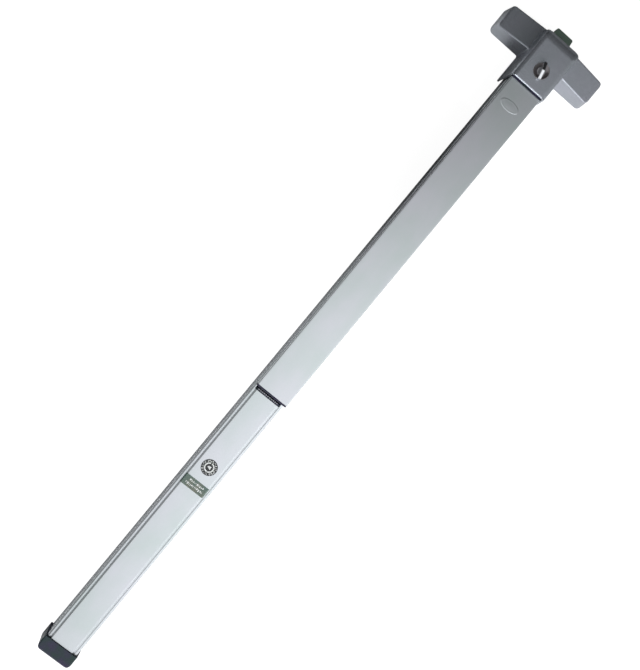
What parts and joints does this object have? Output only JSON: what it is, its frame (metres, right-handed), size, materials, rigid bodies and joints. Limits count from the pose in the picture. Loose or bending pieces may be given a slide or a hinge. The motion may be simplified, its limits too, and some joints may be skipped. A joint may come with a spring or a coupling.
{
  "type": "panic exit bar",
  "caption": "Touch-bar exit device: aluminium rail with a push pad, T-shaped head with a latch bolt and a dogging thumbturn, and a black end cap.",
  "frame": {"origin": "middle of the footprint, on the door's face", "axes": "+X along the bar from the end cap to the latch bolt, +Y across the bar, +Z out of the door"},
  "size_m": [1.073, 0.162, 0.079],
  "materials": {
    "satin_aluminium": "satin anodised extrusion, fine long grain",
    "bright_aluminium": "light satin anodised sheet",
    "case_paint": "grey metallic paint on a casting",
    "black_plastic": "moulded, fine matt texture",
    "latch_steel": "dark satin plating",
    "zinc_steel": "zinc plated sheet",
    "spring_steel": "drawn wire and turned pins",
    "chrome": "polished",
    "seal_print": "printed round sticker",
    "label_print": "printed rectangular sticker"
  },
  "bodies": {
    "fixed_frame": {"base_bracket_1": "zinc_steel", "base_bracket_2": "zinc_steel", "bracket_screw_1": "zinc_steel", "bracket_screw_2": "zinc_steel", "bracket_screw_3": "zinc_steel", "bracket_screw_4": "zinc_steel", "case_screw_1": "zinc_steel", "case_screw_2": "zinc_steel", "end_bracket": "zinc_steel", "end_cap": "black_plastic", "end_cap_screw": "zinc_steel", "guide_screw_1": "zinc_steel", "guide_screw_2": "zinc_steel", "head_case": "case_paint", "head_chassis": "zinc_steel", "insert_cover": "bright_aluminium", "insert_plug": "black_plastic", "label_plate": "label_print", "latch_guide": "zinc_steel", "latch_spring_1": "spring_steel", "latch_spring_2": "spring_steel", "lever_pin": "spring_steel", "pivot_pin_1": "spring_steel", "pivot_pin_2": "spring_steel", "rail": "satin_aluminium", "return_spring_1": "spring_steel", "return_spring_2": "spring_steel", "seal_disc": "seal_print", "tongue_screw": "zinc_steel", "turn_collar": "case_paint"},
    "push_bar": {"push_pad": "satin_aluminium", "pad_end_plug": "black_plastic", "pad_head_plug": "black_plastic", "pad_emblem": "satin_aluminium", "lift_bracket_1": "zinc_steel", "lift_bracket_2": "zinc_steel"},
    "crank_1": {"bell_crank_1": "zinc_steel", "lift_roller_1": "spring_steel", "link_pin_1": "spring_steel"},
    "crank_2": {"bell_crank_2": "zinc_steel", "lift_roller_2": "spring_steel", "link_pin_2": "spring_steel"},
    "rod": {"draw_rod": "zinc_steel", "rod_end_pin": "spring_steel"},
    "retractor": {"retractor_lever": "zinc_steel"},
    "latch": {"latch_bolt": "latch_steel", "latch_pin": "spring_steel"},
    "turn_unit": {"thumbturn": "chrome", "turn_spindle": "zinc_steel", "spindle_clip": "spring_steel", "dog_hook": "zinc_steel"}
  },
  "joints": [
    {"name": "pad_press", "type": "slide", "parent": "fixed_frame", "child": "push_bar", "axis": [0, 0, -1], "range_m": [0, 0.013], "stiffness_N_per_m": 2500, "springref_m": -0.006},
    {"name": "crank_1_swing", "type": "hinge", "parent": "fixed_frame", "child": "crank_1", "pos_m": [0.0335, 0, 0.015], "axis": [0, 1, 0], "range_deg": [-28.96, 0]},
    {"name": "crank_2_swing", "type": "hinge", "parent": "fixed_frame", "child": "crank_2", "pos_m": [0.3635, 0, 0.015], "axis": [0, 1, 0], "range_deg": [-28.96, 0]},
    {"name": "rod_pull", "type": "slide", "parent": "fixed_frame", "child": "rod", "axis": [-1, 0, 0], "range_m": [0, 0.00981], "deforming": ["return_spring_1", "return_spring_2"]},
    {"name": "retractor_swing", "type": "hinge", "parent": "fixed_frame", "child": "retractor", "pos_m": [0.478, 0, 0.05], "axis": [0, 1, 0], "range_deg": [0, 34.08]},
    {"name": "latch_retract", "type": "slide", "parent": "fixed_frame", "child": "latch", "axis": [-1, 0, 0], "range_m": [0, 0.019], "deforming": ["latch_spring_1", "latch_spring_2"]},
    {"name": "dog_turn", "type": "hinge", "parent": "fixed_frame", "child": "turn_unit", "pos_m": [0.4615, 0, 0.07], "axis": [0, 0, 1], "range_deg": [0, 90]}
  ],
  "couplings": [
    {"joint": "crank_1_swing", "follows": "pad_press", "rad_per_m": -38.874},
    {"joint": "crank_2_swing", "follows": "pad_press", "rad_per_m": -38.874},
    {"joint": "rod_pull", "follows": "pad_press", "ratio": 0.75434},
    {"joint": "retractor_swing", "follows": "pad_press", "rad_per_m": 45.748},
    {"joint": "latch_retract", "follows": "pad_press", "ratio": 1.4615}
  ]
}
